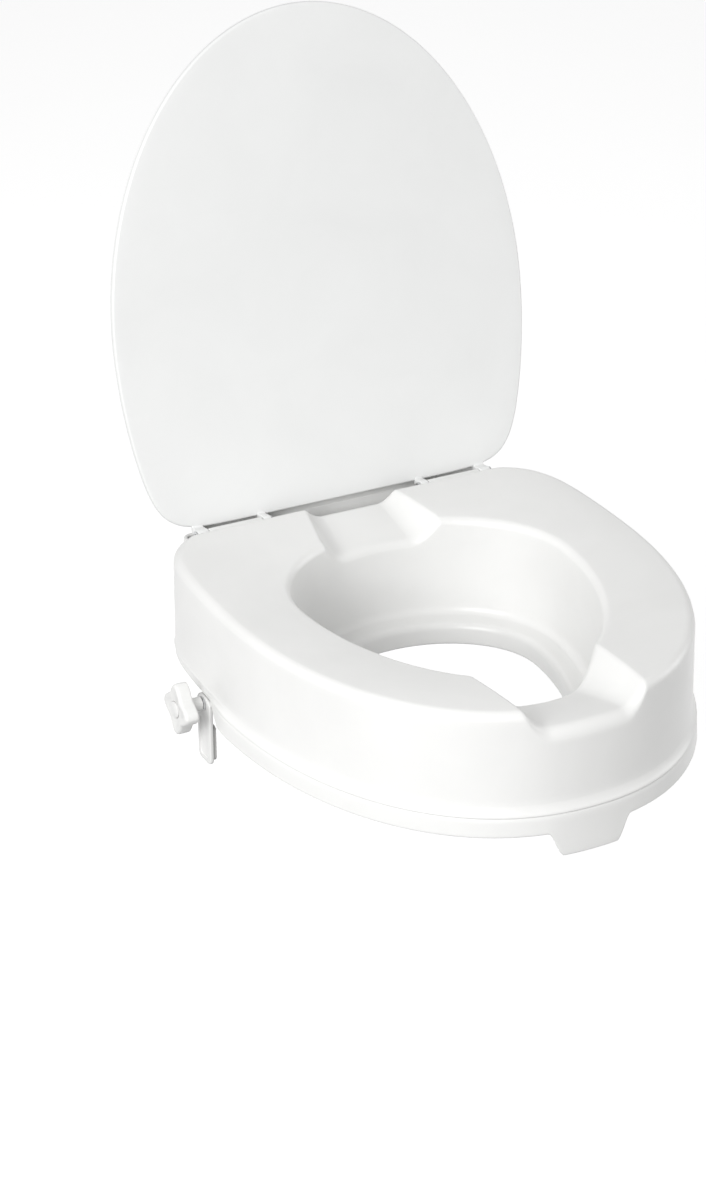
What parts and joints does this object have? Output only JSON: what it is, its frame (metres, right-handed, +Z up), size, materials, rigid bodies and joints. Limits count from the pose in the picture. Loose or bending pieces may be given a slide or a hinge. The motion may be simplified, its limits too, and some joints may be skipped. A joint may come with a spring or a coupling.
{
  "type": "raised toilet seat",
  "caption": "Raised toilet seat with an egg-shaped opening, recesses front and rear, a stepped front skirt with a tab, a hinged lid and screw clamps that grip the bowl.",
  "frame": {"origin": "middle of the plane where the seat's pads rest on the bowl rim, between the two clamps' sides and under the seat opening", "axes": "+Z up, -Y towards the user at the front of the seat, +Y towards the hinge, X across the seat"},
  "size_m": [0.4334, 0.5125, 0.5557],
  "materials": {
    "shell_plastic": "moulded white polypropylene, satin gloss",
    "lid_plastic": "moulded white polypropylene, satin gloss",
    "clamp_plastic": "moulded white plastic",
    "pad_rubber": "soft pale grey rubber",
    "hardware_steel": "stainless steel"
  },
  "bodies": {
    "seat": {"seat_shell": "shell_plastic", "rim_pad_front_right": "pad_rubber", "rim_pad_rear_right": "pad_rubber", "rim_pad_rear_left": "pad_rubber", "rim_pad_front_left": "pad_rubber", "hinge_pin_left": "hardware_steel", "hinge_clip_left": "hardware_steel", "clamp_nut_left": "hardware_steel", "hinge_pin_right": "hardware_steel", "hinge_clip_right": "hardware_steel", "clamp_nut_right": "hardware_steel"},
    "lid": {"lid": "lid_plastic"},
    "jaw_left": {"clamp_jaw_left": "clamp_plastic", "jaw_pad_left": "pad_rubber", "clamp_washer_left": "hardware_steel"},
    "knob_left": {"clamp_knob_left": "clamp_plastic", "knob_cap_left": "clamp_plastic", "clamp_bolt_left": "hardware_steel"},
    "jaw_right": {"clamp_jaw_right": "clamp_plastic", "jaw_pad_right": "pad_rubber", "clamp_washer_right": "hardware_steel"},
    "knob_right": {"clamp_knob_right": "clamp_plastic", "knob_cap_right": "clamp_plastic", "clamp_bolt_right": "hardware_steel"}
  },
  "joints": [
    {"name": "lid_hinge", "type": "hinge", "parent": "seat", "child": "lid", "pos_m": [0, 0.148, 0.092], "axis": [1, 0, 0], "range_deg": [0, 100.7]},
    {"name": "jaw_slide_left", "type": "slide", "parent": "seat", "child": "jaw_left", "axis": [-1, 0, 0], "range_m": [-0.008, 0.014]},
    {"name": "knob_turn_left", "type": "hinge", "parent": "jaw_left", "child": "knob_left", "pos_m": [-0.2, 0.03, 0.005], "axis": [-1, 0, 0], "range_deg": [-2880, 5040]},
    {"name": "jaw_slide_right", "type": "slide", "parent": "seat", "child": "jaw_right", "axis": [1, 0, 0], "range_m": [-0.008, 0.014]},
    {"name": "knob_turn_right", "type": "hinge", "parent": "jaw_right", "child": "knob_right", "pos_m": [0.2, 0.03, 0.005], "axis": [1, 0, 0], "range_deg": [-2880, 5040]}
  ],
  "couplings": [
    {"joint": "knob_turn_left", "follows": "jaw_slide_left", "rad_per_m": 6283.2},
    {"joint": "knob_turn_right", "follows": "jaw_slide_right", "rad_per_m": 6283.2}
  ]
}
